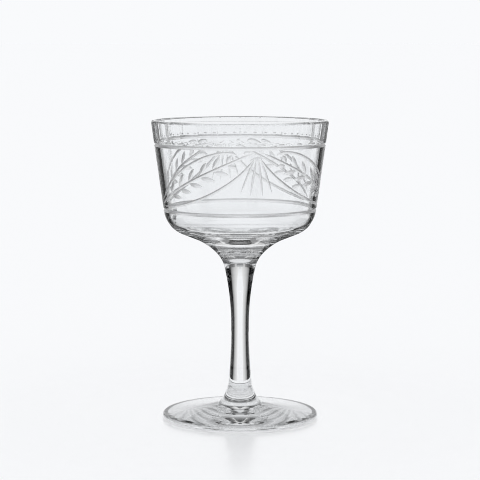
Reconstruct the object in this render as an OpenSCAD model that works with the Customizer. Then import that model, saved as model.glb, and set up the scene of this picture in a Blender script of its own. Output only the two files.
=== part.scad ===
// Nick and nora glass: a blown cut bowl, a drawn stem and a round foot, joined face to face.
// Millimetres, +Z up, origin at the centre of the face that it stands on.

/* [Foot] */
// Diameter of the foot
foot_d = 72; // [60:0.5:84]
// Height of the foot at the joint with the stem
foot_h = 6.3; // [5:0.1:9]
// Thickness of the foot at its rounded edge
foot_edge = 2.2; // [1.6:0.1:3.2]
// Diameter inside the flat ring that the foot rests on
rest_d = 54; // [44:0.5:58]
// How far the underside is hollowed at its middle
kick = 0.9; // [0.3:0.1:1.8]

/* [Stem] */
// Length of the stem between its two joints
stem_l = 63.7; // [45:0.1:90]
// Diameter of the stem at the joint with the foot
stem_base_d = 20.6; // [16:0.1:26]
// Height of the flare at the foot of the stem
base_flare_h = 10.2; // [7:0.1:14]
// Diameter of the stem just above that flare
stem_neck_d = 10.7; // [9:0.1:13]
// Diameter of the stem at its waist
waist_d = 8.2; // [6:0.1:8.9]
// Height of the waist above the joint with the foot
waist_h = 36.4; // [28:0.1:40]
// Diameter of the stem at the joint with the bowl
stem_top_d = 14.3; // [11:0.1:18]

/* [Bowl] */
// Outside diameter of the bowl at the rim
rim_d = 82; // [70:0.5:95]
// Height of the bowl from its joint with the stem to the rim
bowl_h = 68; // [60:0.5:85]
// Height of the side from the heel's sharp corner to the rim
side_h = 49.2; // [42:0.1:54]
// Lean of the side from the vertical, in degrees
side_lean = 8; // [4:0.5:11]
// Rise of the underside from the horizontal, in degrees
under_rise = 22; // [17:0.5:26]
// Radius that rounds the heel outside
heel_r = 13; // [9:0.1:15]
// Lean of the funnel at its joint with the stem, in degrees
funnel_lean = 12.5; // [6:0.5:20]
// Thickness of the side
wall = 2.4; // [1.6:0.1:3]
// Thickness of the glass under the floor's edge
floor_t = 2.2; // [1.6:0.1:4]
// Radius that rounds the inside corner
corner_r = 8; // [5:0.1:10]
// Radius of the polished lip
lip_r = 0.6; // [0.3:0.05:0.7]

/* [Cuts] */
// Number of flat panels round the rim
panels = 26; // [18:1:32]
// Length of the flat part of a panel, down from the rim
panel_l = 7.2; // [5:0.1:9]
// Width of the ridge that is left between two panels
panel_ridge = 0.5; // [0.3:0.1:1.5]
// Radius of the wheel that ends a panel in a curve
panel_wheel_r = 20; // [12:1:30]
// Distance of the upper ring cut below the rim
upper_ring = 10.9; // [10.6:0.1:14]
// Distance of the lower ring cut below the rim
lower_ring = 40.8; // [36:0.1:42]
// Width of a ring cut
ring_w = 1.5; // [0.8:0.1:2]
// Depth of a ring cut
ring_depth = 0.45; // [0.2:0.05:0.8]

/* [Laurel] */
// Number of fans round the bowl, each between two laurel sprays
fans = 2; // [2:1:3]
// Turn of the first fan away from the front, in degrees
fan_turn = 11.5; // [0:0.5:45]
// Distance of a fan's apex below the upper ring cut
apex_gap = 1.1; // [0.9:0.1:3]
// Distance of a spray's foot above the lower ring cut
spray_gap = 2.3; // [2:0.1:6]
// Height of a spray's arch above its midrib
arch_h = 7.6; // [7:0.1:8]
// Drop of a spray's festoon below its midrib
festoon_h = 9.9; // [8:0.1:10.5]
// Width of a line cut
line_w = 0.9; // [0.6:0.05:1.1]
// Depth of a line cut
line_depth = 0.35; // [0.2:0.05:0.6]
// Distance of the first pair of leaves from the fan, along the wall
leaf_start = 14.1; // [13:0.1:16]
// Distance between two pairs of leaves, along the wall
leaf_pitch = 6.3; // [5.5:0.1:8]
// Length of a leaf
leaf_l = 7; // [5:0.1:7.4]
// Length of the two leaves of the first pair
bud_l = 4; // [3:0.1:4.5]
// Width of a leaf
leaf_w = 2; // [1:0.1:2.4]
// Depth of a leaf at its middle
leaf_depth = 0.45; // [0.3:0.05:0.7]
// Angle between a leaf and the midrib, in degrees
leaf_turn = 33; // [28:0.5:36]
// Angles of a fan's rays from the vertical, in degrees
inner_ray = 8; // [5:0.5:11]
outer_ray = 21; // [15:0.5:24]
// Length of a ray
ray_l = 18; // [14:0.5:20]
// Width of a ray
ray_w = 0.9; // [0.6:0.05:1.2]
// Depth of a ray at its middle
ray_depth = 0.35; // [0.3:0.05:0.5]

/* [Hidden] */
$fn = 96;

// Heights of the joints and the rim
bowl_z = foot_h + stem_l;
height = bowl_z + bowl_h;

// How far a cutter stands clear of the glass that it cuts
clear = 1;
// Points along one rounded stretch of an outline
steps = 10;
// Angle by which the foot's top leaves its edge and meets the stem, in degrees
foot_edge_slope = 5;
foot_top_slope = 12;
// Angle from the vertical at which the stem's base flare meets the foot, in degrees
base_flare_lean = 55;
// Reach of the handles that shape the flares, as shares of what they span
base_flare_pull = [0.55, 0.28];
foot_pull = 0.3;
funnel_pull = [0.6, 0.13];
// Straight stretch of the underside between the funnel and the heel, as a share of the heel's radius
under_run = 0.6;

// The outline's directions: up the side, out along the underside, and up the funnel's foot
side_dir = [sin(side_lean), cos(side_lean)];
under_dir = [cos(under_rise), sin(under_rise)];
funnel_dir = [sin(funnel_lean), cos(funnel_lean)];

// A point on the outside of the bowl's side, before its heel is rounded
function side_at(z, inset = 0) =
    [rim_d / 2 - (height - z) * tan(side_lean) - inset / cos(side_lean), z];

// The heel: its sharp corner, and the points where its rounding meets the side and the underside
heel = side_at(height - side_h);
heel_tangent = heel_r * tan((90 - side_lean - under_rise) / 2);
heel_top = heel + heel_tangent * side_dir;
heel_bottom = heel - heel_tangent * under_dir;
heel_centre = heel_top - heel_r * [cos(side_lean), -sin(side_lean)];

// The inside: the floor, and the rounded corner where it meets the side
floor_z = heel_bottom[1] + floor_t;
corner_tangent = corner_r * tan((90 - side_lean) / 2);
corner_centre = [side_at(floor_z, wall)[0] - corner_tangent, floor_z + corner_r];

// How far a line cutter stands clear of the glass, and the steps along it
line_clear = 0.5;
line_steps = 9;
// Depth of a line cut at its two ends, where it fades out
line_fade = 0.02;
// A wheel cutter's height as a multiple of the depth of its cut, and its run past each end
wheel_sink = 1.8;
wheel_run = 0.6;
// Distance of a leaf's foot from the midrib's middle, and of a ray's top from the apex
leaf_gap = 1.2;
ray_gap = 2.5;
// Room kept free of leaves at a spray's foot
foot_room = 12;
// Stretches of a midrib, an arch and a festoon that are cut, so that their ends stay apart
midrib_stretch = [0.03, 0.96];
arch_stretch = [0.02, 0.92];
// Where an arch leaves the midrib, as a share of the spray
arch_from = 0.13;

// The laurel is laid out flat, x along the wall from the first fan's apex and y up from it
apex_z = height - upper_ring - apex_gap;
spray_drop = lower_ring - spray_gap - upper_ring - apex_gap;
wall_r = rim_d / 2 - (upper_ring + apex_gap + spray_drop / 2) * tan(side_lean);
spray_l = wall_r * PI / fans;
spray_turn = atan(spray_drop / spray_l);
leaf_pairs = floor((spray_l - foot_room - leaf_start) / leaf_pitch) + 1;

// The lip's two round edges
lip_z = height - lip_r;
lip_outer = [side_at(lip_z, lip_r)[0], lip_z];
lip_inner = [side_at(lip_z, wall - lip_r)[0], lip_z];

// Points along an arc, from one angle to another
function arc(centre, r, from, to) =
    [for (i = [0:steps]) let (a = from + (to - from) * i / steps) centre + r * [cos(a), sin(a)]];

// Points along a smooth curve that leaves one point and reaches another in set directions
function curve(p, p_pull, q, q_pull) =
    [for (i = [0:steps]) let (t = i / steps, s = 1 - t)
        s * s * s * p + 3 * s * s * t * (p + p_pull) + 3 * s * t * t * (q - q_pull) + t * t * t * q];

// Radius of an arc that leaves the vertical and moves sideways by d over a height h
function bow_r(d, h) = (d * d + h * h) / (2 * d);

// Points along the stem's outline, from its waist to where it has widened by d at a height h above or below
function bow(z, d, h) =
    [for (i = [0:steps]) let (y = h * i / steps, r = bow_r(d, abs(h)))
        [waist_d / 2 + r - sqrt(r * r - y * y), z + y]];

function reversed(list) = [for (i = [len(list) - 1:-1:0]) list[i]];

module bowl_blank() {
    joint = [stem_top_d / 2, bowl_z];
    funnel_end = heel_bottom - under_run * heel_r * under_dir;
    funnel_rise = funnel_end[1] - bowl_z;
    rotate_extrude()
        polygon(concat(
            [[0, bowl_z]],
            curve(joint, funnel_pull[0] * funnel_rise * funnel_dir,
                  funnel_end, funnel_pull[1] * funnel_rise * under_dir),
            arc(heel_centre, heel_r, under_rise - 90, -side_lean),
            arc(lip_outer, lip_r, -side_lean, 90),
            arc(lip_inner, lip_r, 90, 180 - side_lean),
            arc(corner_centre, corner_r, -side_lean, -90),
            [[0, floor_z]]));
}

// One V-shaped cut round the bowl, at a distance below the rim
module ring_cut(below) {
    z = height - below;
    half = ring_w / 2 * (1 + clear / ring_depth);
    rotate_extrude()
        polygon([side_at(z, ring_depth),
                 side_at(z, -clear) + half * side_dir,
                 side_at(z, -clear) - half * side_dir]);
}

// One flat panel ground down from the rim, which the wheel leaves in a curve at its lower end
module panel_cut() {
    half = rim_d / 2 * sin(180 / panels) - panel_ridge / 2;
    depth = rim_d / 2 - sqrt(pow(rim_d / 2, 2) - half * half);
    reach = depth + clear;
    rim = side_at(height, depth);
    translate([rim[0], 0, rim[1]])
        rotate([90, 0, 0])
            rotate(-side_lean)
                linear_extrude(2 * half, center = true) {
                    translate([0, -panel_l])
                        square([reach, panel_l + clear]);
                    intersection() {
                        translate([panel_wheel_r, -panel_l])
                            circle(panel_wheel_r);
                        translate([0, -panel_l - panel_wheel_r])
                            square([reach, panel_wheel_r]);
                    }
                }
}

// The laurel's curves: a straight midrib, and an arch and a festoon that swell away from it
function swell(t) = pow(t, 0.6) * (1 - t) / (pow(0.375, 0.6) * 0.625);
function midrib(t) = t * [spray_l, -spray_drop];
function festoon(t) = midrib(t) - [0, festoon_h * swell(t)];
function arch(t) = midrib(arch_from + (1 - arch_from) * t) + [0, arch_h * swell(t)];

// Points along a stretch of one of them, closer together where it starts to bend
function along(stretch, bend) =
    [for (i = [0:line_steps]) stretch[0] + (stretch[1] - stretch[0]) * pow(i / line_steps, bend)];

function azimuth(x) = x / wall_r * 180 / PI;

// The place of a laurel point on the wall, moved by an offset along, up and out of the wall
function on_wall(p, offset) =
    let (a = azimuth(p[0]), z = apex_z + p[1],
         side = [cos(a), sin(a), 0], out = [sin(a), -cos(a), 0], up = [0, 0, 1])
    side_at(z)[0] * out + z * up
    + offset[0] * side
    + offset[1] * (sin(side_lean) * out + cos(side_lean) * up)
    + offset[2] * (cos(side_lean) * out - sin(side_lean) * up);

// One V-shaped line along laurel points
module line_cut(points) {
    last = len(points) - 1;
    sections = [for (i = [0:last])
        let (d = points[min(i + 1, last)] - points[max(i - 1, 0)],
             across = [-d[1], d[0]] / norm(d),
             depth = i == 0 || i == last ? line_fade : line_depth,
             half = line_w / 2 * (depth + line_clear) / line_depth)
        each [on_wall(points[i], [0, 0, -depth]),
              on_wall(points[i], concat(half * across, line_clear)),
              on_wall(points[i], concat(-half * across, line_clear))]];
    sides = [for (i = [0:last - 1], k = [0:2])
        let (a = 3 * i + k, b = 3 * i + (k + 1) % 3)
        each [[a, a + 3, b], [a + 3, b + 3, b]]];
    polyhedron(sections, concat([[0, 1, 2]], sides, [[3 * last + 2, 3 * last + 1, 3 * last]]));
}

// One cut of a V-edged wheel, in a direction turned from the horizontal
module wheel_cut(p, turn, l, w, depth) {
    wheel_r = 1 / (8 * depth / (l * l) - pow(cos(turn), 2) / wall_r);
    sweep = 2 * asin((l / 2 + wheel_run) / wheel_r);
    sink = wheel_sink * depth;
    half = wheel_sink * w / 2;
    z = apex_z + p[1];
    rotate(azimuth(p[0]))
        translate([0, -side_at(z)[0], z])
            rotate([90 + side_lean, 0, 0])
                rotate(turn)
                    translate([0, 0, wheel_r - depth])
                        rotate([90, 0, 0])
                            rotate_extrude(angle = sweep, start = 270 - sweep / 2)
                                polygon([[wheel_r - sink, -half], [wheel_r, 0], [wheel_r - sink, half]]);
}

// One leaf of a pair, above the midrib for a side of 1 and below it for -1
module leaf_cut(pair, side) {
    l = pair == 0 ? bud_l : leaf_l;
    turn = 180 - spray_turn - side * leaf_turn;
    foot = midrib((leaf_start + leaf_pitch * pair) / spray_l);
    wheel_cut(foot + (leaf_gap + l / 2) * [cos(turn), sin(turn)], turn, l, leaf_w, leaf_depth);
}

// One spray and the half of a fan beside it
module spray_cut() {
    line_cut([for (t = along(midrib_stretch, 1)) midrib(t)]);
    line_cut([for (t = along(arch_stretch, 1.3)) arch(t)]);
    line_cut([for (t = along(arch_stretch, 1.3)) festoon(t)]);
    for (pair = [0:leaf_pairs - 1], side = [-1, 1])
        leaf_cut(pair, side);
    for (turn = [inner_ray, outer_ray])
        wheel_cut((ray_gap + ray_l / 2) * [sin(turn), -cos(turn)], turn - 90, ray_l, ray_w, ray_depth);
}

module bowl() {
    color([0.86, 0.92, 0.95, 0.5])
        difference() {
            bowl_blank();
            for (below = [upper_ring, lower_ring])
                ring_cut(below);
            for (i = [0:panels - 1])
                rotate(i * 360 / panels)
                    panel_cut();
            for (i = [0:fans - 1], side = [0, 1])
                rotate(fan_turn + i * 360 / fans)
                    mirror([side, 0, 0])
                        spray_cut();
        }
}

module stem() {
    waist_z = foot_h + waist_h;
    flare_top = [stem_neck_d / 2, foot_h + base_flare_h];
    flare_foot = [stem_base_d / 2, foot_h];
    flare_w = flare_foot[0] - flare_top[0];
    lower_bow = bow(waist_z, (stem_neck_d - waist_d) / 2, base_flare_h - waist_h);
    upper_bow = bow(waist_z, (stem_top_d - waist_d) / 2, stem_l - waist_h);
    neck_slope = atan((stem_neck_d - waist_d) / (waist_h - base_flare_h));
    color([0.88, 0.93, 0.96, 0.5])
        rotate_extrude()
            polygon(concat(
                [[0, foot_h]],
                reversed(curve(flare_top,
                               base_flare_pull[0] * base_flare_h * [sin(neck_slope), -cos(neck_slope)],
                               flare_foot,
                               base_flare_pull[1] * flare_w * [sin(base_flare_lean), -cos(base_flare_lean)])),
                reversed([for (i = [0:steps - 1]) lower_bow[i]]),
                [for (i = [1:steps]) upper_bow[i]],
                [[0, bowl_z]]));
}

module foot() {
    edge_r = foot_edge / 2;
    edge_centre = [foot_d / 2 - edge_r, edge_r];
    edge_top = edge_centre + edge_r * [sin(foot_edge_slope), cos(foot_edge_slope)];
    joint = [stem_base_d / 2, foot_h];
    span = edge_top[0] - joint[0];
    dome_r = (pow(rest_d / 2, 2) + kick * kick) / (2 * kick);
    dome_turn = asin(rest_d / 2 / dome_r);
    color([0.84, 0.9, 0.94, 0.5])
        rotate_extrude()
            polygon(concat(
                arc([0, kick - dome_r], dome_r, 90, 90 - dome_turn),
                arc(edge_centre, edge_r, -90, 90 - foot_edge_slope),
                curve(edge_top, foot_pull * span * [-cos(foot_edge_slope), sin(foot_edge_slope)],
                      joint, foot_pull * span * [-cos(foot_top_slope), sin(foot_top_slope)]),
                [[0, foot_h]]));
}

bowl();
stem();
foot();
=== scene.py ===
"""Looks of the nick and nora glass: its three clear pieces with their real cuts, on a white floor."""

import math

import bmesh
import bpy
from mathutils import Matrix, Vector


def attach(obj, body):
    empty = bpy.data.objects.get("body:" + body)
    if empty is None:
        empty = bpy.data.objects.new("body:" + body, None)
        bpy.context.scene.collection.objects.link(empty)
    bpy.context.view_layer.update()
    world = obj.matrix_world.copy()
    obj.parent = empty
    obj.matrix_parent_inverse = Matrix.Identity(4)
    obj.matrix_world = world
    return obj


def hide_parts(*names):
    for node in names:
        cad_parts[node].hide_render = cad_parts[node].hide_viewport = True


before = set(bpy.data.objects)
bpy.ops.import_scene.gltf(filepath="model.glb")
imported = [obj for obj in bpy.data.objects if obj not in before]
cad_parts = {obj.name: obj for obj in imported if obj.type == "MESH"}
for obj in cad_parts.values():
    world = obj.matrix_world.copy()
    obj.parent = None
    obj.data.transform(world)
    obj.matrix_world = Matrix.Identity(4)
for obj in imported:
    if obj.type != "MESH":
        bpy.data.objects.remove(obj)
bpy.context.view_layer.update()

MM = 0.001

# Sizes of the glass, in millimetres and degrees. They follow the CAD source, but for a rounder lip,
# softer and slightly wider cuts, longer panels, and the small nicks between the panels. A pull is how long
# a curve holds its first or last direction, as a share of its span

# Foot: the disc, its rounded edge, and the hollow inside the ring that it rests on
FOOT_D = 72
FOOT_H = 6.3
FOOT_EDGE = 2.2
REST_D = 54
KICK = 0.9
FOOT_EDGE_SLOPE = 5
FOOT_TOP_SLOPE = 12
FOOT_PULL = 0.3

# Stem: its flare on the foot, its waist, and its top under the bowl
STEM_L = 63.7
STEM_BASE_D = 20.6
BASE_FLARE_H = 10.2
BASE_FLARE_LEAN = 55
BASE_FLARE_PULL = (0.55, 0.28)
STEM_NECK_D = 10.7
WAIST_D = 8.2
WAIST_H = 36.4
STEM_TOP_D = 14.3

# Bowl: its straight side, the heel below it, the funnel down to the stem, and the inside
RIM_D = 82
BOWL_H = 68
SIDE_H = 49.2
SIDE_LEAN = 8
UNDER_RISE = 22
UNDER_RUN = 0.6
HEEL_R = 13
FUNNEL_LEAN = 12.5
FUNNEL_PULL = (0.6, 0.13)
WALL = 2.4
FLOOR_T = 2.2
CORNER_R = 8
LIP_R = 1.1

# Cuts round the bowl: the panels, the nicks between them, and the two rings by their distance below the rim
PANELS = 26
PANEL_L = 8.2
PANEL_RIDGE = 0.5
PANEL_WHEEL_R = 5
NICK_DROP = 9.4
NICK_L = 4
NICK_W = 1.0
NICK_DEPTH = 0.25
UPPER_RING = 10.9
LOWER_RING = 40.8
RING_W = 1.7
RING_DEPTH = 0.45

# Laurel: a fan, and a spray to either side of it with a midrib, an arch above and a festoon below
FANS = 2
FAN_TURN = 11.5
APEX_GAP = 1.1
SPRAY_GAP = 2.3
ARCH_H = 7.6
ARCH_FROM = 0.13
FESTOON_H = 9.9
LINE_W = 1.3
LINE_DEPTH = 0.35
LEAF_START = 14.1
LEAF_PITCH = 6.3
LEAF_L = 7
BUD_L = 4
LEAF_W = 2.3
LEAF_DEPTH = 0.45
LEAF_TURN = 33
LEAF_GAP = 1.2
FOOT_ROOM = 12
RAY_TURNS = (8, 21)
RAY_L = 18
RAY_W = 1.1
RAY_DEPTH = 0.35
RAY_GAP = 2.5
# The stretch of its curve that each line runs along, in shares, and a power that draws the points of the
# arch and the festoon towards their start
MIDRIB_RUN = (0.03, 0.96)
BOWED_RUN = (0.02, 0.92)
BOWED_BEND = 1.3
# Where along their curves the arch and the festoon stand furthest from the midrib, as a share
SWELL_PEAK = 0.375
SWELL_POWER = SWELL_PEAK / (1 - SWELL_PEAK)

BOWL_Z = FOOT_H + STEM_L
HEIGHT = BOWL_Z + BOWL_H
APEX_Z = HEIGHT - UPPER_RING - APEX_GAP
SPRAY_DROP = LOWER_RING - SPRAY_GAP - UPPER_RING - APEX_GAP
WALL_R = RIM_D / 2 - (UPPER_RING + APEX_GAP + SPRAY_DROP / 2) * math.tan(math.radians(SIDE_LEAN))
SPRAY_L = WALL_R * math.pi / FANS
SPRAY_TURN = math.degrees(math.atan(SPRAY_DROP / SPRAY_L))
LEAF_PAIRS = int((SPRAY_L - FOOT_ROOM - LEAF_START) / LEAF_PITCH) + 1

# Cutters: how far they stand clear of the glass, run past a cut's end and widen towards their back
CLEAR = 1.0
LINE_CLEAR = 0.5
WHEEL_OVERRUN = 0.6
CUTTER_FLARE = 1.25
# Power of a groove's section, where 1 is a plain V and 2 is a round bed
GROOVE_BOW = 1.15
# Share of a line over which it deepens at each end, and the share of its depth that it starts with
LINE_FADE = 0.08
LINE_END = 0.06

# Fineness of the meshes
LATHE_SEGMENTS = 384
CURVE_STEPS = 40
ARC_STEPS = 24
LIP_STEPS = 10
LINE_STEPS = 72
WHEEL_STEPS = 28
GROOVE_STEPS = 8
TURNS = [2 * math.pi * i / LATHE_SEGMENTS for i in range(LATHE_SEGMENTS)]
# A point this near to the axis is on it, in millimetres, and a face this near to a joint is in it, in metres
ON_AXIS = 1e-6
IN_JOINT = 1e-7
# Edges that turn further than this stay sharp
SHARP_TURN = 18

# Material slots of the glass pieces
BLOWN, GROUND, PANEL, JOINT = range(4)

# Glass: its index, its tints from the darkest to the lightest, and the roughness of its finishes. The clear
# tints grey the glass a little all over; the cuts' lighter tint is a painted highlight on them
GLASS_IOR = 1.52
CLEAR_TINTS = ((0.945, 0.952, 0.958, 1), (0.96, 0.966, 0.968, 1))
CUT_TINTS_PAINTED_HIGHLIGHT = ((0.985, 0.99, 0.99, 1), (1, 1, 1, 1))
POLISHED = (0.0, 0.0)
MATT = (0.34, 0.46)
# Ripples of its surfaces, as features per metre and a depth in metres
BLOWN_RIPPLE = (70, 2e-5)
GROUND_RIPPLE = (900, 3e-6)
PANEL_RIPPLE = (120, 3e-6)
# Nearly all of a noise texture lies between these values
NOISE_RANGE = (0.3, 0.7)

# Floor, in metres. It lies a hair under the foot
FLOOR_HALF = 40.0
FLOOR_Z = -0.0001
FLOOR_GRAIN = 40
FLOOR_DETAIL = 4
FLOOR_TINTS = ((0.995, 0.995, 0.995, 1), (1, 1, 1, 1))
FLOOR_ROUGHNESS = 0.2
# Polish of the floor by metres from the axis: nearly matt under the foot, and fading out round it
POLISH = [(0.0, 0.1), (0.033, 0.1), (0.037, 0.6), (0.05, 0.58), (0.075, 0.45), (0.12, 0.1), (0.15, 0.0)]

# Studio: its white, and its brightness in the glass by degrees above the horizon, which is a pale wall,
# a dark upper part and a soft light overhead
WHITE = (0.947, 0.956, 0.973, 1.0)
STUDIO = [
    (0, 1.0), (4, 1.0), (10, 0.7), (18, 0.45), (26, 0.25),
    (38, 0.06), (56, 0.06), (66, 0.75), (90, 0.85),
]

# The camera, in metres, degrees and millimetres of lens, fitted to the photo's rim, foot and stem
CAMERA_AT = (0.0, -0.820, 0.1763)
CAMERA_DOWN = 6.522
CAMERA_LENS = 133.86
SENSOR = 36.0

# Outputs of the light path, and for the depths the count that is still allowed
THROUGH = "Is Transmission Ray"
MIRROR = "Is Singular Ray"
OFF_FLOOR = ("Diffuse Depth", 0)
OFF_GLASS = ("Glossy Depth", 0)
SECOND_WALL = ("Transmission Depth", 2)
# Which rays a card or the studio shows itself to: any of the first outputs, less what the second ones
# count beyond an allowance, and only where the third ones count
RAYS_SEEN = {
    "through": ([THROUGH], [OFF_FLOOR], []),
    "one_wall": ([THROUGH], [OFF_FLOOR, OFF_GLASS, SECOND_WALL], []),
    "inside": ([THROUGH], [OFF_FLOOR], ["Glossy Depth"]),
    "mirrored": ([MIRROR], [OFF_FLOOR, (THROUGH, 0)], []),
    "both": ([THROUGH, MIRROR], [OFF_FLOOR], []),
    "both_one_wall": ([THROUGH, MIRROR], [OFF_FLOOR, SECOND_WALL], []),
}

# Cards, in metres and degrees. Their tones are pairs of the share along the card and a grey, and their spans
# are bearings from straight behind the glass, or from straight before it
NEAR_TONES = [(0.0, 0.8), (0.12, 0.55), (0.2, 0.32), (0.28, 0.0), (0.94, 0.0), (1.0, 0.6)]
BACK_TONES = [(0.0, 0.5), (0.15, 0.06), (0.85, 0.06), (1.0, 0.5)]
EDGE_TONES = [(0.0, 0.9), (0.07, 0.4), (0.16, 0.1), (0.3, 0.03), (1.0, 0.03)]
OVER_TONES = [(0.0, 0.9), (0.15, 0.3), (0.4, 0.1), (1.0, 0.05)]
SIDE_GREY = 0.0
LIP_GREY = 0.26
# Grey of the ring under the foot's edge, a painted contact shadow
PAINTED_CONTACT_SHADOW_GREY = 0.06
CARD_STEPS = 24
WHOLE_TURN_STEPS = 96

# Louvres close round the stem, of which the upper one reaches further in towards its top
LOUVRE_R = 0.045
LOUVRE_PITCH = 0.0005
LOUVRE_DEPTH = 0.0035
LOUVRE_SPAN = (10, 78)
LOW_HEIGHTS = (0.0025, 0.062)
LOW_DROPS = (26, 17)
NEAR_HEIGHTS = (0.062, 0.080)
NEAR_DROPS = (26, 26)
NEAR_CREEP = -9

# Louvres further out, from about the height of the rim upwards
OVER_R = 0.30
OVER_PITCH = 0.001
OVER_DEPTH = 0.005
OVER_SPAN = (9, 34)
OVER_HEIGHTS = (0.132, 0.36)
OVER_DROPS = (22, 22)

# Plain cards to either side, as the end of a name, a lower edge and a span
SIDE_R = 0.062
SIDE_TOP = 0.080
SIDE_CARDS = (("_behind", 0.030, (12, 55)), ("", 0.003, (55, 105)))

# Card on the floor behind the glass, narrow collar round the lip, and a dark ring under the edge of the foot,
# which is a painted contact shadow seen through the glass
BACK_REACH = (0.12, 0.50)
BACK_Z = 0.0002
BACK_SPAN = (-55, 55)
LIP_EDGES = ((0.0422, 0.1352), (0.0455, 0.13504))
CONTACT_SHADOW_REACH = (0.0335, 0.0363)
CONTACT_SHADOW_Z = -5e-5
WHOLE_TURN = (-180, 180)

# Fine slats beside the bowl. Each starts at a gap from the bowl's side, taken at a rise above the slat
# and no lower than a lowest height, both in millimetres
FRAME_BEHIND = 0.046
FRAME_DROP = 33.4
FRAME_DEPTH = 0.000375
FRAME_PITCH = 0.00015
FRAME_SLATS = 800
FRAME_Z = 0.068
FRAME_GAP = 0.009
FRAME_WIDTH = 0.045
FRAME_RISE = 8
FRAME_LOWEST = 90
# Where the slats stand, as turns round the axis from straight behind the glass
FRAME_TURNS = (0, 90)


def direction(lean):
    """A unit step up an outline that leans outwards from the vertical."""
    a = math.radians(lean)
    return Vector((math.sin(a), math.cos(a)))


def arc(centre, r, start, end, steps=ARC_STEPS):
    """Points of an arc between two angles, as radius and height."""
    angles = [math.radians(start + (end - start) * i / steps) for i in range(steps + 1)]
    return [Vector(centre) + r * Vector((math.cos(a), math.sin(a))) for a in angles]


def curve(p, p_pull, q, q_pull, steps=CURVE_STEPS):
    """A smooth curve from p to q that leaves and arrives along the two pulls."""
    points = []
    for i in range(steps + 1):
        t = i / steps
        s = 1 - t
        points.append(s**3 * p + 3 * s * s * t * (p + p_pull) + 3 * s * t * t * (q - q_pull) + t**3 * q)
    return points


def side_at(z, inset=0.0):
    """Radius of the bowl's side at a height, moved into the glass by an inset."""
    lean = math.radians(SIDE_LEAN)
    return RIM_D / 2 - (HEIGHT - z) * math.tan(lean) - inset / math.cos(lean)


def bowl_outline():
    """From the joint up the outside, over the lip and down the inside to the floor."""
    side_dir = direction(SIDE_LEAN)
    under_dir = direction(90 - UNDER_RISE)
    heel_z = HEIGHT - SIDE_H
    heel = Vector((side_at(heel_z), heel_z))
    tangent = HEEL_R * math.tan(math.radians(90 - SIDE_LEAN - UNDER_RISE) / 2)
    heel_bottom = heel - tangent * under_dir
    heel_centre = heel + tangent * side_dir - HEEL_R * Vector((side_dir[1], -side_dir[0]))
    floor_z = heel_bottom[1] + FLOOR_T
    corner_tangent = CORNER_R * math.tan(math.radians(90 - SIDE_LEAN) / 2)
    corner_centre = (side_at(floor_z, WALL) - corner_tangent, floor_z + CORNER_R)
    joint = Vector((STEM_TOP_D / 2, BOWL_Z))
    funnel_end = heel_bottom - UNDER_RUN * HEEL_R * under_dir
    rise = funnel_end[1] - BOWL_Z
    lip_z = HEIGHT - LIP_R
    lip_outer = (side_at(lip_z, LIP_R), lip_z)
    lip_inner = (side_at(lip_z, WALL - LIP_R), lip_z)
    return [
        Vector((0, BOWL_Z)),
        *curve(joint, FUNNEL_PULL[0] * rise * direction(FUNNEL_LEAN),
               funnel_end, FUNNEL_PULL[1] * rise * under_dir),
        *arc(heel_centre, HEEL_R, UNDER_RISE - 90, -SIDE_LEAN),
        *arc(lip_outer, LIP_R, -SIDE_LEAN, 90, LIP_STEPS),
        *arc(lip_inner, LIP_R, 90, 180 - SIDE_LEAN, LIP_STEPS),
        *arc(corner_centre, CORNER_R, -SIDE_LEAN, -90),
        Vector((0, floor_z)),
    ]


def bow(z, d, h, steps=CURVE_STEPS):
    """The stem's outline from its waist to where it has widened by d at a height h above or below."""
    r = (d * d + h * h) / (2 * d)
    heights = [h * i / steps for i in range(steps + 1)]
    return [Vector((WAIST_D / 2 + r - math.sqrt(r * r - y * y), z + y)) for y in heights]


def stem_outline():
    """From the foot up the flare and the two bows that meet at the waist."""
    waist_z = FOOT_H + WAIST_H
    flare_top = Vector((STEM_NECK_D / 2, FOOT_H + BASE_FLARE_H))
    flare_foot = Vector((STEM_BASE_D / 2, FOOT_H))
    flare_w = flare_foot[0] - flare_top[0]
    neck_slope = math.degrees(math.atan((STEM_NECK_D - WAIST_D) / (WAIST_H - BASE_FLARE_H)))
    down = Vector((1, -1))
    flare = curve(flare_top, BASE_FLARE_PULL[0] * BASE_FLARE_H * down * direction(neck_slope),
                  flare_foot, BASE_FLARE_PULL[1] * flare_w * down * direction(BASE_FLARE_LEAN))
    lower = bow(waist_z, (STEM_NECK_D - WAIST_D) / 2, BASE_FLARE_H - WAIST_H)
    upper = bow(waist_z, (STEM_TOP_D - WAIST_D) / 2, STEM_L - WAIST_H)
    return [Vector((0, FOOT_H)), *flare[::-1], *lower[-2::-1], *upper[1:], Vector((0, BOWL_Z))]


def foot_outline():
    """From the hollow underneath round the edge and up to the joint."""
    edge_r = FOOT_EDGE / 2
    edge_centre = Vector((FOOT_D / 2 - edge_r, edge_r))
    edge_top = edge_centre + edge_r * direction(FOOT_EDGE_SLOPE)
    joint = Vector((STEM_BASE_D / 2, FOOT_H))
    span = edge_top[0] - joint[0]
    dome_r = ((REST_D / 2) ** 2 + KICK**2) / (2 * KICK)
    dome_turn = math.degrees(math.asin(REST_D / 2 / dome_r))
    inward = Vector((-1, 1))
    return [
        *arc((0, KICK - dome_r), dome_r, 90, 90 - dome_turn),
        *arc(edge_centre, edge_r, -90, 90 - FOOT_EDGE_SLOPE),
        *curve(edge_top, FOOT_PULL * span * inward * direction(90 - FOOT_EDGE_SLOPE),
               joint, FOOT_PULL * span * inward * direction(90 - FOOT_TOP_SLOPE)),
        Vector((0, FOOT_H)),
    ]


def spun(r, z, a):
    """A point of an outline, turned round the axis."""
    return Vector((r * math.cos(a), r * math.sin(a), z))


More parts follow.
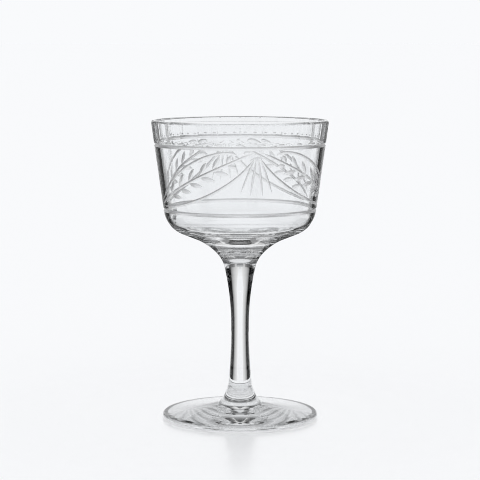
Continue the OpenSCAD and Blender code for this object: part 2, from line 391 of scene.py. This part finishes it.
def lathe(outline):
    """Points and faces of a closed solid, turned from an outline that starts and ends on the axis."""
    points, faces, rings = [], [], []
    for r, z in outline:
        ring = [Vector((0, 0, z))] if r < ON_AXIS else [spun(r, z, a) for a in TURNS]
        rings.append(range(len(points), len(points) + len(ring)))
        points += ring
    for low, high in zip(rings, rings[1:]):
        for i in range(LATHE_SEGMENTS):
            j = (i + 1) % LATHE_SEGMENTS
            if len(low) == 1:
                faces.append((low[0], high[j], high[i]))
            elif len(high) == 1:
                faces.append((low[i], low[j], high[0]))
            else:
                faces.append((low[i], low[j], high[j], high[i]))
    return points, faces


def prism(sections, closed=False):
    """Points and faces of a solid through sections of equal length, capped unless it closes on itself."""
    n = len(sections[0])
    points = [p for section in sections for p in section]
    faces = []
    last = len(sections) if closed else len(sections) - 1
    for i in range(last):
        a, b = n * i, n * ((i + 1) % len(sections))
        faces += [(a + k, b + k, b + (k + 1) % n, a + (k + 1) % n) for k in range(n)]
    if not closed:
        faces += [tuple(range(n)), tuple(range(n * last + n - 1, n * last - 1, -1))]
    return points, faces


def turned(shape, degrees):
    """A copy of a shape, turned round the axis."""
    a = math.radians(degrees)
    c, s = math.cos(a), math.sin(a)
    return [Vector((c * p[0] - s * p[1], s * p[0] + c * p[1], p[2])) for p in shape[0]], shape[1]


def mirrored(shape):
    """A copy of a shape, mirrored from left to right."""
    return [Vector((-p[0], p[1], p[2])) for p in shape[0]], [face[::-1] for face in shape[1]]


def merged(shapes):
    """Several shapes as one."""
    points, faces = [], []
    for more_points, more_faces in shapes:
        start = len(points)
        points += more_points
        faces += [tuple(start + i for i in face) for face in more_faces]
    return points, faces


def groove(half, depth, clear):
    """Section of a cutter that leaves a shallow, slightly rounded V of that half width.
    Its points are steps across the cut and out of the glass."""
    shares = [2 * i / GROOVE_STEPS - 1 for i in range(GROOVE_STEPS + 1)]
    bed = [(half * share, -depth * (1 - abs(share) ** GROOVE_BOW)) for share in shares]
    return [*bed, (CUTTER_FLARE * half, clear), (-CUTTER_FLARE * half, clear)]


def ring_cut(below):
    """A groove round the bowl, at a distance below the rim."""
    z = HEIGHT - below
    up, out = direction(SIDE_LEAN), direction(90 + SIDE_LEAN)
    wall = Vector((side_at(z), z))
    section = [wall - x * up + y * out for x, y in groove(RING_W / 2, RING_DEPTH, CLEAR)]
    return prism([[spun(r, h, a) for r, h in section] for a in TURNS], closed=True)


def panel_cut():
    """A flat panel down from the rim, which the wheel leaves in a curve at its lower end."""
    half = RIM_D / 2 * math.sin(math.pi / PANELS) - PANEL_RIDGE / 2
    depth = RIM_D / 2 - math.sqrt((RIM_D / 2) ** 2 - half * half)
    reach = depth + CLEAR
    run = math.sqrt(PANEL_WHEEL_R**2 - (PANEL_WHEEL_R - reach) ** 2)
    drops = [run * i / ARC_STEPS for i in range(ARC_STEPS + 1)]
    wheel = [(PANEL_WHEEL_R - math.sqrt(PANEL_WHEEL_R**2 - d * d), -PANEL_L - d) for d in drops]
    lean = math.radians(SIDE_LEAN)
    c, s = math.cos(lean), math.sin(lean)
    rim = side_at(HEIGHT, depth)
    side = [(0, CLEAR), *wheel, (reach, CLEAR)]
    outline = [(rim + x * c + y * s, HEIGHT - x * s + y * c) for x, y in side]
    return prism([[Vector((r, w, z)) for r, z in outline] for w in (-half, half)])


def swell(t):
    """How far a bowed line stands off the midrib, as a share of its most."""
    return t**SWELL_POWER * (1 - t) / (SWELL_PEAK**SWELL_POWER * (1 - SWELL_PEAK))


def midrib(t):
    """A point along the spray, as steps along the wall and up it from the apex of the fan."""
    return t * Vector((SPRAY_L, -SPRAY_DROP))


def festoon(t):
    return midrib(t) - Vector((0, FESTOON_H * swell(t)))


def arch(t):
    return midrib(ARCH_FROM + (1 - ARCH_FROM) * t) + Vector((0, ARCH_H * swell(t)))


def wall_frame(p):
    """The place of a laurel point on the wall, and the steps along, up and out of the wall there."""
    a = p[0] / WALL_R
    z = APEX_Z + p[1]
    lean = math.radians(SIDE_LEAN)
    out = Vector((math.sin(a), -math.cos(a), 0))
    up = Vector((0, 0, 1))
    place = side_at(z) * out + z * up
    along = Vector((math.cos(a), math.sin(a), 0))
    up_wall = math.sin(lean) * out + math.cos(lean) * up
    out_of_wall = math.cos(lean) * out - math.sin(lean) * up
    return place, along, up_wall, out_of_wall


def line_cut(path, start, end, bend=1.0):
    """A groove along a stretch of a laurel curve, which fades in and out at its ends."""
    shares = [i / LINE_STEPS for i in range(LINE_STEPS + 1)]
    points = [path(start + (end - start) * share**bend) for share in shares]
    sections = []
    for i, share in enumerate(shares):
        step = (points[min(i + 1, LINE_STEPS)] - points[max(i - 1, 0)]).normalized()
        depth = LINE_DEPTH * max(LINE_END, min(1.0, share / LINE_FADE, (1 - share) / LINE_FADE))
        half = LINE_W / 2 * math.sqrt(depth / LINE_DEPTH)
        place, along, up, out = wall_frame(points[i])
        across = -step[1] * along + step[0] * up
        sections.append([place - x * across + y * out for x, y in groove(half, depth, LINE_CLEAR)])
    return prism(sections)


def wheel_cut(p, turn, length, width, depth):
    """One cut of a grinding wheel, pointed at both ends, in a direction turned from the horizontal."""
    a = math.radians(turn)
    wheel_r = 1 / (8 * depth / length**2 - math.cos(a) ** 2 / WALL_R)
    reach = math.asin((length / 2 + WHEEL_OVERRUN) / wheel_r)
    section = groove(width / 2, depth, LINE_CLEAR)
    place, along, up, out = wall_frame(p)
    ahead = math.cos(a) * along + math.sin(a) * up
    across = -math.sin(a) * along + math.cos(a) * up
    hub = place + (wheel_r - depth) * out
    sections = []
    for i in range(WHEEL_STEPS + 1):
        b = reach * (2 * i / WHEEL_STEPS - 1)
        spoke = math.sin(b) * ahead - math.cos(b) * out
        sections.append([hub + (wheel_r - depth - y) * spoke - x * across for x, y in section])
    return prism(sections)


def leaf_cut(pair, side):
    """One leaf of a pair beside the midrib. The first pair are buds."""
    length = BUD_L if pair == 0 else LEAF_L
    turn = 180 - SPRAY_TURN - side * LEAF_TURN
    a = math.radians(turn)
    foot = midrib((LEAF_START + LEAF_PITCH * pair) / SPRAY_L)
    middle = foot + (LEAF_GAP + length / 2) * Vector((math.cos(a), math.sin(a)))
    return wheel_cut(middle, turn, length, LEAF_W, LEAF_DEPTH)


def ray_cut(turn):
    """One ray of the fan, turned from straight down."""
    a = math.radians(turn)
    middle = (RAY_GAP + RAY_L / 2) * Vector((math.sin(a), -math.cos(a)))
    return wheel_cut(middle, turn - 90, RAY_L, RAY_W, RAY_DEPTH)


def nick_cut():
    """A short cut across the lower end of the ridge between two panels, here of the one at the front."""
    return wheel_cut(Vector((0, HEIGHT - NICK_DROP - APEX_Z)), 0, NICK_L, NICK_W, NICK_DEPTH)


def round_the_bowl(shape):
    """A cut of one spray, repeated on both sides of every fan."""
    turns = [FAN_TURN + i * 360 / FANS for i in range(FANS)]
    return merged([turned(one, turn) for turn in turns for one in (shape, mirrored(shape))])


def bowl_cuts():
    """The cutters by groups whose members stand apart, each with the slot of the faces that it leaves."""
    leaves = [leaf_cut(pair, side) for pair in range(LEAF_PAIRS) for side in (-1, 1)]
    yield merged([ring_cut(below) for below in (UPPER_RING, LOWER_RING)]), GROUND
    yield merged([turned(panel_cut(), i * 360 / PANELS) for i in range(PANELS)]), PANEL
    yield merged([turned(nick_cut(), i * 360 / PANELS) for i in range(PANELS)]), GROUND
    yield round_the_bowl(line_cut(midrib, *MIDRIB_RUN)), GROUND
    yield round_the_bowl(line_cut(arch, *BOWED_RUN, BOWED_BEND)), GROUND
    yield round_the_bowl(line_cut(festoon, *BOWED_RUN, BOWED_BEND)), GROUND
    yield round_the_bowl(merged(leaves)), GROUND
    for turn in RAY_TURNS:
        yield round_the_bowl(ray_cut(turn)), GROUND


def mesh_object(name, points, faces):
    mesh = bpy.data.meshes.new(name)
    mesh.from_pydata(points, [], faces)
    obj = bpy.data.objects.new(name, mesh)
    bpy.context.scene.collection.objects.link(obj)
    return obj


def glass_object(name, shape, slot, materials):
    """A shape in millimetres as an object, with all its faces in one material slot."""
    obj = mesh_object(name, [MM * Vector(p) for p in shape[0]], shape[1])
    obj.data.polygons.foreach_set("material_index", [slot] * len(obj.data.polygons))
    for material in materials:
        obj.data.materials.append(material)
    return obj


def cut(obj, cutters):
    """Takes the cutters out of an object, for good."""
    for cutter in cutters:
        modifier = obj.modifiers.new(cutter.name, "BOOLEAN")
        modifier.operation = "DIFFERENCE"
        modifier.solver = "MANIFOLD"
        modifier.object = cutter
    evaluated = obj.evaluated_get(bpy.context.evaluated_depsgraph_get())
    mesh = bpy.data.meshes.new_from_object(evaluated)
    obj.modifiers.clear()
    obj.data = mesh
    for cutter in cutters:
        bpy.data.objects.remove(cutter)


def mark_edges(obj, joint_heights):
    """Smooth shading up to the edges of the cuts, and the joint slot on the faces that meet another piece."""
    sharp = math.radians(SHARP_TURN)
    work = bmesh.new()
    work.from_mesh(obj.data)
    for face in work.faces:
        face.smooth = True
        heights = [v.co.z for v in face.verts]
        if any(max(abs(h - MM * joint) for h in heights) < IN_JOINT for joint in joint_heights):
            face.material_index = JOINT
    for edge in work.edges:
        slots = {face.material_index for face in edge.link_faces}
        edge.smooth = len(slots) == 1 and edge.calc_face_angle(0.0) < sharp
    work.to_mesh(obj.data)
    work.free()


def glass_piece(name, node, outline, materials, joint_heights, cuts=()):
    """One piece of the glass, turned and cut, in place of its CAD node."""
    obj = glass_object(name, lathe(outline), BLOWN, materials)
    cutters = [glass_object(f"cutter_{i}", shape, slot, materials) for i, (shape, slot) in enumerate(cuts)]
    if cutters:
        cut(obj, cutters)
    mark_edges(obj, joint_heights)
    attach(obj, "root")
    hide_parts(node)
    return obj


def new_material(name):
    material = bpy.data.materials.new(name)
    material.use_nodes = True
    material.node_tree.nodes.clear()
    return material, material.node_tree.nodes, material.node_tree.links


def noise_at(nodes, links, scale, detail=2.0):
    """A noise texture in the object's own space, with a scale in features per metre."""
    coordinates = nodes.new("ShaderNodeTexCoord")
    noise = nodes.new("ShaderNodeTexNoise")
    noise.inputs["Scale"].default_value = scale
    noise.inputs["Detail"].default_value = detail
    links.new(coordinates.outputs["Object"], noise.inputs["Vector"])
    return noise.outputs["Fac"]


def mapped(nodes, links, source, low, high):
    """A noise texture's value, spread from a low to a high one."""
    ramp = nodes.new("ShaderNodeMapRange")
    ramp.inputs["From Min"].default_value = NOISE_RANGE[0]
    ramp.inputs["From Max"].default_value = NOISE_RANGE[1]
    ramp.inputs["To Min"].default_value = low
    ramp.inputs["To Max"].default_value = high
    links.new(source, ramp.inputs["Value"])
    return ramp.outputs["Result"]


def tinted(nodes, links, source, low, high):
    """A change from one colour to another along a value."""
    ramp = nodes.new("ShaderNodeValToRGB")
    ramp.color_ramp.elements[0].color = low
    ramp.color_ramp.elements[1].color = high
    links.new(source, ramp.inputs["Fac"])
    return ramp.outputs["Color"]


def grey_ramp(nodes, links, source, stops):
    """A change of grey along a value, through pairs of a place and a grey."""
    ramp = nodes.new("ShaderNodeValToRGB")
    elements = ramp.color_ramp.elements
    for _ in stops[2:]:
        elements.new(0.5)
    for element, (place, grey) in zip(elements, stops):
        element.position = place
        element.color = (grey, grey, grey, 1)
    links.new(source, ramp.inputs["Fac"])
    return ramp.outputs["Color"]


def mixed(nodes, links, share, first, second):
    """Two shaders, mixed by the share of the second."""
    mix = nodes.new("ShaderNodeMixShader")
    links.new(share, mix.inputs["Fac"])
    links.new(first, mix.inputs[1])
    links.new(second, mix.inputs[2])
    return mix.outputs["Shader"]


def set_surface(nodes, links, shader):
    output = nodes.new("ShaderNodeOutputMaterial")
    links.new(shader, output.inputs["Surface"])


def glass_material(name, ripple, roughness, tints):
    """Clear glass with a slow change of tint and finish, and a ripple of its surface."""
    features, depth = ripple
    material, nodes, links = new_material(name)
    shader = nodes.new("ShaderNodeBsdfPrincipled")
    shader.inputs["Transmission Weight"].default_value = 1.0
    shader.inputs["IOR"].default_value = GLASS_IOR
    noise = noise_at(nodes, links, features)
    links.new(tinted(nodes, links, noise, *tints), shader.inputs["Base Color"])
    if roughness == POLISHED:
        shader.inputs["Roughness"].default_value = 0.0
    else:
        links.new(mapped(nodes, links, noise, *roughness), shader.inputs["Roughness"])
    bump = nodes.new("ShaderNodeBump")
    bump.inputs["Strength"].default_value = 1.0
    bump.inputs["Distance"].default_value = depth
    links.new(noise, bump.inputs["Height"])
    links.new(bump.outputs["Normal"], shader.inputs["Normal"])
    set_surface(nodes, links, shader.outputs["BSDF"])
    return material


def joint_material():
    """The hidden face between two pieces that are fused, which light passes straight through."""
    material, nodes, links = new_material("fused_joint")
    set_surface(nodes, links, nodes.new("ShaderNodeBsdfTransparent").outputs["BSDF"])
    return material


def glass_materials():
    """The materials in the order of their slots."""
    return [
        glass_material("blown_glass", BLOWN_RIPPLE, POLISHED, CLEAR_TINTS),
        # The cut faces' tint, lighter than the blown glass's, is a painted highlight on the cuts
        glass_material("ground_cut_painted_highlight", GROUND_RIPPLE, MATT, CUT_TINTS_PAINTED_HIGHLIGHT),
        glass_material("polished_panel", PANEL_RIPPLE, POLISHED, CLEAR_TINTS),
        joint_material(),
    ]


def build_glass():
    materials = glass_materials()
    glass_piece("glass_bowl", "bowl", bowl_outline(), materials, [BOWL_Z], bowl_cuts())
    glass_piece("glass_stem", "stem", stem_outline(), materials, [BOWL_Z, FOOT_H])
    foot = glass_piece("glass_foot", "foot", foot_outline(), materials, [FOOT_H])
    # The floor's own light passes the thin clear foot
    foot.visible_shadow = False
    foot.visible_diffuse = False


def floor_paper(nodes, links):
    """White paper with a faint grain."""
    paper = nodes.new("ShaderNodeBsdfDiffuse")
    noise = noise_at(nodes, links, FLOOR_GRAIN, FLOOR_DETAIL)
    links.new(tinted(nodes, links, noise, *FLOOR_TINTS), paper.inputs["Color"])
    return paper.outputs["BSDF"]


def floor_gloss(nodes):
    gloss = nodes.new("ShaderNodeBsdfGlossy")
    gloss.inputs["Color"].default_value = (1, 1, 1, 1)
    gloss.inputs["Roughness"].default_value = FLOOR_ROUGHNESS
    gloss.distribution = "MULTI_GGX"
    return gloss.outputs["BSDF"]


def floor_material():
    """Paper with a polish that depends on how far it is from the glass."""
    material, nodes, links = new_material("floor_paper")
    place = nodes.new("ShaderNodeTexCoord")
    reach = nodes.new("ShaderNodeVectorMath")
    reach.operation = "LENGTH"
    links.new(place.outputs["Object"], reach.inputs[0])
    polish = grey_ramp(nodes, links, reach.outputs["Value"], POLISH)
    shader = mixed(nodes, links, polish, floor_paper(nodes, links), floor_gloss(nodes))
    set_surface(nodes, links, shader)
    return material


def build_floor():
    """A wide pale floor, a hair under the foot so that the glass doesn't melt into it."""
    corners = [(-1, -1), (1, -1), (1, 1), (-1, 1)]
    points = [(FLOOR_HALF * x, FLOOR_HALF * y, FLOOR_Z) for x, y in corners]
    obj = mesh_object("floor", points, [(0, 1, 2, 3)])
    obj.data.materials.append(floor_material())


def seen_in_glass(nodes, links, rays):
    """One for a ray that has come through the glass or off it, and nought for the floor's own light."""
    path = nodes.new("ShaderNodeLightPath")

    def joined(operation, value, other):
        node = nodes.new("ShaderNodeMath")
        node.operation = operation
        node.use_clamp = True
        for socket, source in zip(node.inputs, (value, other)):
            if isinstance(source, int):
                socket.default_value = source
            else:
                links.new(source, socket)
        return node.outputs["Value"]

    (first, *more), left_out, needed = RAYS_SEEN[rays]
    value = path.outputs[first]
    for name in more:
        value = joined("MAXIMUM", value, path.outputs[name])
    for name, allowance in left_out:
        value = joined("SUBTRACT", value, joined("SUBTRACT", path.outputs[name], allowance))
    for name in needed:
        value = joined("MINIMUM", value, path.outputs[name])
    return value


def card_material(name, tones, rays):
    """A card whose tone changes along it, and which shows itself only to some rays."""
    material, nodes, links = new_material(name)
    coordinates = nodes.new("ShaderNodeUVMap")
    split = nodes.new("ShaderNodeSeparateXYZ")
    links.new(coordinates.outputs["UV"], split.inputs["Vector"])
    card = nodes.new("ShaderNodeEmission")
    links.new(grey_ramp(nodes, links, split.outputs["X"], tones), card.inputs["Color"])
    nothing = nodes.new("ShaderNodeBsdfTransparent")
    seen = seen_in_glass(nodes, links, rays)
    shader = mixed(nodes, links, seen, nothing.outputs["BSDF"], card.outputs["Emission"])
    set_surface(nodes, links, shader)
    return material


def plain_card(name, grey, rays):
    return card_material(name, [(0.0, grey), (1.0, grey)], rays)


def card_object(name, rows, material):
    """Strips between pairs of rows of points, whose tone follows the share of the way along.
    Only the glass shows them."""
    points, faces, shares = [], [], []
    for low, high in rows:
        for i, pair in enumerate(zip(low, high)):
            n = len(points)
            points += pair
            shares += [i / (len(low) - 1)] * 2
            if i:
                faces.append((n - 2, n, n + 1, n - 1))
    obj = mesh_object(name, points, faces)
    uv = obj.data.uv_layers.new(name="UVMap")
    for loop in obj.data.loops:
        uv.data[loop.index].uv = (shares[loop.vertex_index], 0.5)
    obj.data.materials.append(material)
    obj.visible_camera = False
    obj.visible_diffuse = False
    obj.visible_shadow = False


def bent_strips(name, edges, span, material, steps=CARD_STEPS, creep=0):
    """Strips bent round the glass over a span of bearings, between pairs of edges.
    An edge is a radius and a height. Bearings count from straight behind the glass towards the left.
    The first bearing shifts by the creep, little by little, up to the last strip."""
    start, end = span
    rows = []
    for n, pair in enumerate(edges):
        first = start + creep * n / len(edges)
        turns = [math.radians(first + (end - first) * i / steps) for i in range(steps + 1)]
        rows.append([[(-r * math.sin(a), r * math.cos(a), z) for a in turns] for r, z in pair])
    card_object(name, rows, material)


def louvre_edges(radius, heights, pitch, depth, drops):
    """Slats that shut to a level look and open to a look from well above.
    Their fall outwards goes from the first drop at the bottom to the second at the top."""
    low, high = heights
    edges = []
    count = int((high - low) / pitch)
    for i in range(count):
        drop = drops[0] + (drops[1] - drops[0]) * i / count
        z = low + i * pitch
        edges.append(((radius + depth, z - depth * math.tan(math.radians(drop))), (radius, z)))
    return edges


def build_louvres():
    """Slats round the stem and above the rim, behind the glass to both sides and before it to one."""
    low = card_material("low_card", NEAR_TONES, "one_wall")
    near = card_material("near_card", NEAR_TONES, "both_one_wall")
    over = card_material("over_card", OVER_TONES, "through")
    low_slats = louvre_edges(LOUVRE_R, LOW_HEIGHTS, LOUVRE_PITCH, LOUVRE_DEPTH, LOW_DROPS)
    near_slats = louvre_edges(LOUVRE_R, NEAR_HEIGHTS, LOUVRE_PITCH, LOUVRE_DEPTH, NEAR_DROPS)
    over_slats = louvre_edges(OVER_R, OVER_HEIGHTS, OVER_PITCH, OVER_DEPTH, OVER_DROPS)
    for name, middle, way in (("left", 0, 1), ("right", 0, -1), ("front", 180, -1)):
        louvre_span = [middle + way * bearing for bearing in LOUVRE_SPAN]
        over_span = [middle + way * bearing for bearing in OVER_SPAN]
        bent_strips(f"low_card_{name}", low_slats, louvre_span, low)
        bent_strips(f"near_card_{name}", near_slats, louvre_span, near, creep=way * NEAR_CREEP)
        bent_strips(f"over_card_{name}", over_slats, over_span, over)


def build_plain_cards():
    """Cards to either side of the stem, behind the glass, round the lip, and a dark ring under the edge of
    the foot that is a painted contact shadow.
    """
    side = plain_card("side_card", SIDE_GREY, "mirrored")
    back = card_material("back_card", BACK_TONES, "inside")
    lip = plain_card("lip_card", LIP_GREY, "one_wall")
    # The dark ring under the foot's edge is a painted contact shadow, seen only through the glass
    under = plain_card("painted_contact_shadow_card", PAINTED_CONTACT_SHADOW_GREY, "through")
    for name, way in (("left", 1), ("right", -1)):
        for ending, low, bearings in SIDE_CARDS:
            span = [way * bearing for bearing in bearings]
            bent_strips(f"side_card_{name}{ending}", [((SIDE_R, low), (SIDE_R, SIDE_TOP))], span, side)
    bent_strips("back_card", [[(r, BACK_Z) for r in BACK_REACH]], BACK_SPAN, back)
    bent_strips("lip_card", [LIP_EDGES], WHOLE_TURN, lip, WHOLE_TURN_STEPS)
    bent_strips("painted_contact_shadow_card", [[(r, CONTACT_SHADOW_Z) for r in CONTACT_SHADOW_REACH]], WHOLE_TURN, under, WHOLE_TURN_STEPS)


def bowl_frame(name, turn, way, material):
    """Slats beside the bowl and close behind it, as seen from a turn, too fine to show one by one."""
    fall = FRAME_DEPTH * math.tan(math.radians(FRAME_DROP))
    a = math.radians(turn)
    c, s = math.cos(a), math.sin(a)
    rows = []
    for i in range(FRAME_SLATS):
        z = FRAME_Z + FRAME_PITCH * i
        beside = min(HEIGHT, max(FRAME_LOWEST, z / MM + FRAME_RISE))
        start = FRAME_GAP + MM * side_at(beside)
        ends = [way * start, way * (start + FRAME_WIDTH)]
        edges = ((FRAME_BEHIND + FRAME_DEPTH, z - fall), (FRAME_BEHIND, z))
        rows.append([[(x * c - y * s, x * s + y * c, h) for x in ends] for y, h in edges])
    card_object(name, rows, material)


def build_bowl_frames():
    edge = card_material("edge_card", EDGE_TONES, "both")
    for turn in FRAME_TURNS:
        bowl_frame(f"edge_card_left_{turn}", turn, -1, edge)
        bowl_frame(f"edge_card_right_{turn}", turn, 1, edge)


def build_world():
    """White for the camera and for the floor's light, and a studio with a dark upper part in the glass."""
    world = bpy.data.worlds.new("studio")
    bpy.context.scene.world = world
    world.use_nodes = True
    nodes, links = world.node_tree.nodes, world.node_tree.links
    nodes.clear()
    coordinates = nodes.new("ShaderNodeTexCoord")
    split = nodes.new("ShaderNodeSeparateXYZ")
    links.new(coordinates.outputs["Generated"], split.inputs["Vector"])
    stops = [(math.sin(math.radians(degrees)), grey) for degrees, grey in STUDIO]
    level = nodes.new("ShaderNodeMix")
    level.inputs["A"].default_value = 1.0
    links.new(seen_in_glass(nodes, links, "both"), level.inputs["Factor"])
    links.new(grey_ramp(nodes, links, split.outputs["Z"], stops), level.inputs["B"])
    background = nodes.new("ShaderNodeBackground")
    background.inputs["Color"].default_value = WHITE
    links.new(level.outputs["Result"], background.inputs["Strength"])
    output = nodes.new("ShaderNodeOutputWorld")
    links.new(background.outputs["Background"], output.inputs["Surface"])


def build_camera():
    data = bpy.data.cameras.new("camera")
    data.sensor_width = SENSOR
    data.lens = CAMERA_LENS
    obj = bpy.data.objects.new("camera", data)
    bpy.context.scene.collection.objects.link(obj)
    obj.location = CAMERA_AT
    obj.rotation_euler = (math.radians(90 - CAMERA_DOWN), 0, 0)
    bpy.context.scene.camera = obj


def set_render():
    """Plain colours, a crisp filter, and bounces enough for clear glass and for the slats that rays pass."""
    scene = bpy.context.scene
    scene.view_settings.view_transform = "Standard"
    scene.cycles.filter_width = 1.0
    scene.cycles.max_bounces = 48
    scene.cycles.transmission_bounces = 24
    scene.cycles.glossy_bounces = 40
    scene.cycles.transparent_max_bounces = 1024


build_glass()
build_floor()
build_louvres()
build_plain_cards()
build_bowl_frames()
build_world()
build_camera()
set_render()
